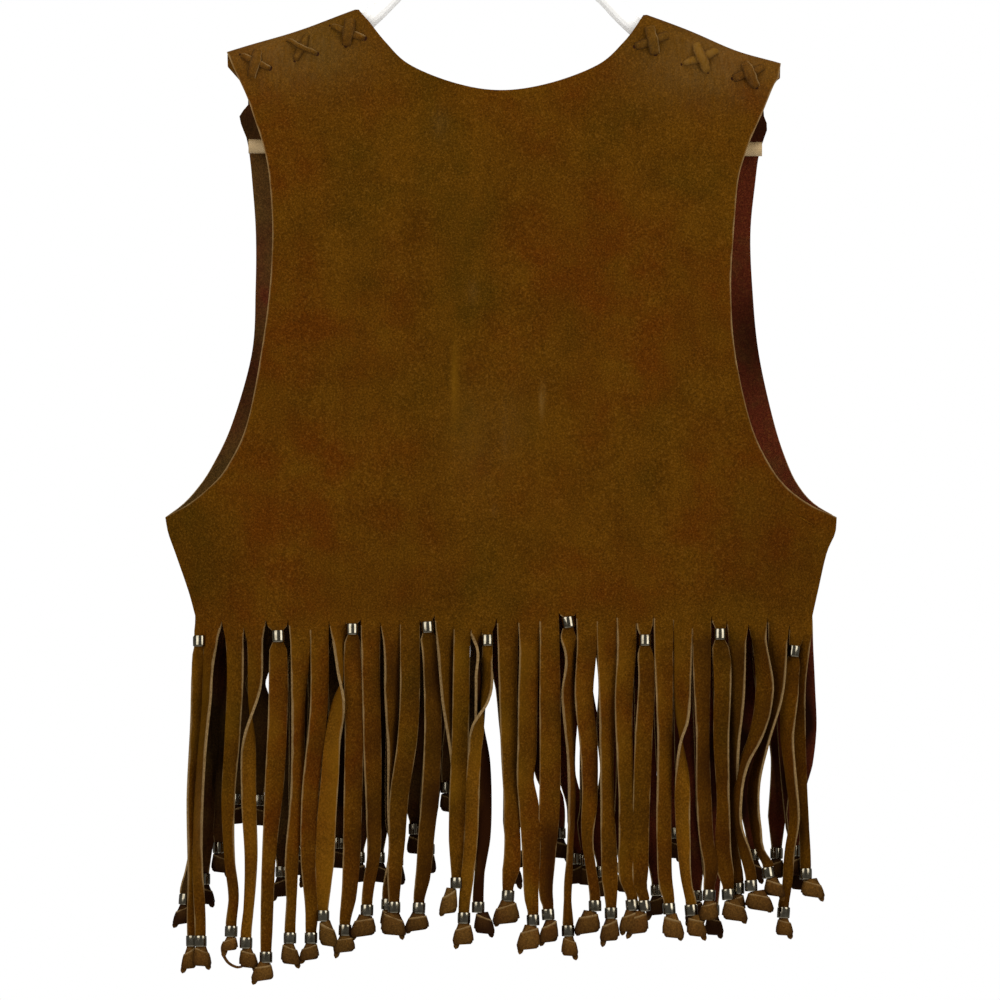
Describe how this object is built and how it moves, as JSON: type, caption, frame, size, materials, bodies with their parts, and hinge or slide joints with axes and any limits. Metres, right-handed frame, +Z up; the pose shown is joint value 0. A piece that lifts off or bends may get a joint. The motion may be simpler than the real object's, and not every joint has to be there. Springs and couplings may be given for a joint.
{
  "type": "fringed suede vest on a wooden hanger",
  "caption": "Sleeveless suede vest with a scooped back neck, open fronts, laced shoulders and a beaded knotted fringe, hung flat on a wooden bar hanger.",
  "frame": {"origin": "inner crown of the hanger's hook, where it lies on a rail", "axes": "+Z up, -Y out of the vest's back, which is the side in the picture, +X to the right as the back is seen"},
  "size_m": [0.4708, 0.053, 0.7862],
  "materials": {
    "suede": "napped golden brown suede, raw cut edges",
    "lace": "napped golden brown suede thong",
    "wood": "pale satin wood",
    "steel": "polished steel"
  },
  "bodies": {
    "root": {"back_panel": "suede", "front_panel_left": "suede", "front_panel_right": "suede", "fringe_back": "suede", "fringe_front_left": "suede", "fringe_front_right": "suede", "lace_cross_left_1": "lace", "lace_cross_left_2": "lace", "lace_cross_left_3": "lace", "lace_cross_right_1": "lace", "lace_cross_right_2": "lace", "lace_cross_right_3": "lace", "hanger_arms": "wood", "hanger_bar": "wood", "hanger_strut_left": "wood", "hanger_strut_right": "wood", "hanger_hook": "steel"}
  },
  "joints": []
}
